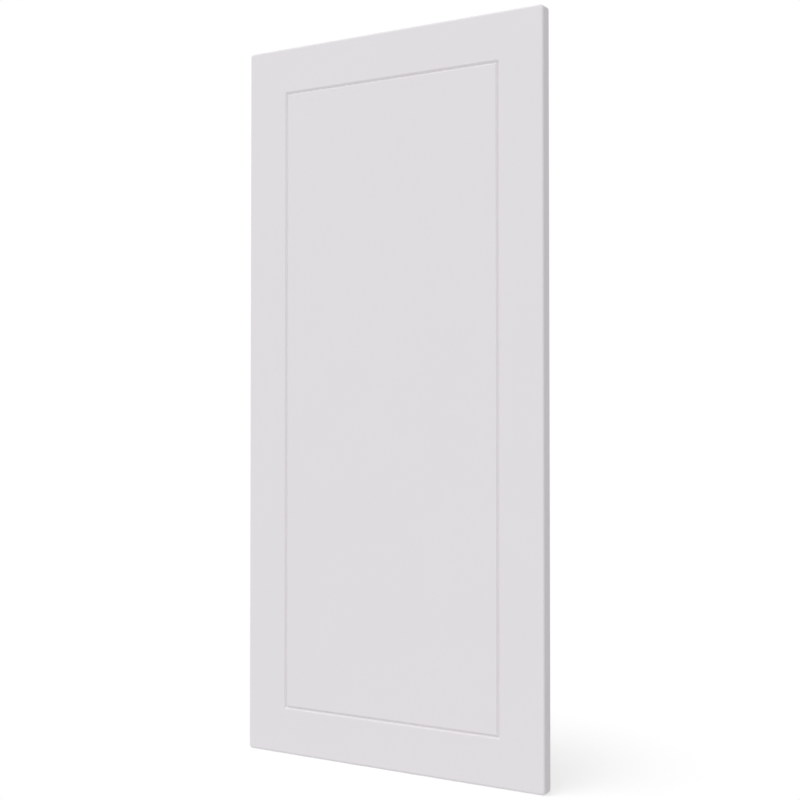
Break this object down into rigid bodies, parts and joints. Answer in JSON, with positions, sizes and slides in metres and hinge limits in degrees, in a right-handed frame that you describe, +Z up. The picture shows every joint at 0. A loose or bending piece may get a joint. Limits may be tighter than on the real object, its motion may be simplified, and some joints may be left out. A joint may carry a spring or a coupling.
{
  "type": "kitchen cabinet door",
  "caption": "Upright slab cabinet door with a rounded front rim, a thin V-groove frame routed into its matt front, and blind borings at the back for concealed cup hinges.",
  "frame": {"origin": "middle of the bottom edge, halfway through the thickness", "axes": "+Z up the door, -Y out of the front, +X to the right as seen from the front; the hinge side is -X"},
  "size_m": [0.446, 0.016, 0.956],
  "materials": {
    "matt_foil": "matt, very pale warm grey-white foil on fibreboard"
  },
  "bodies": {
    "root": {"door_panel": "matt_foil"}
  },
  "joints": []
}
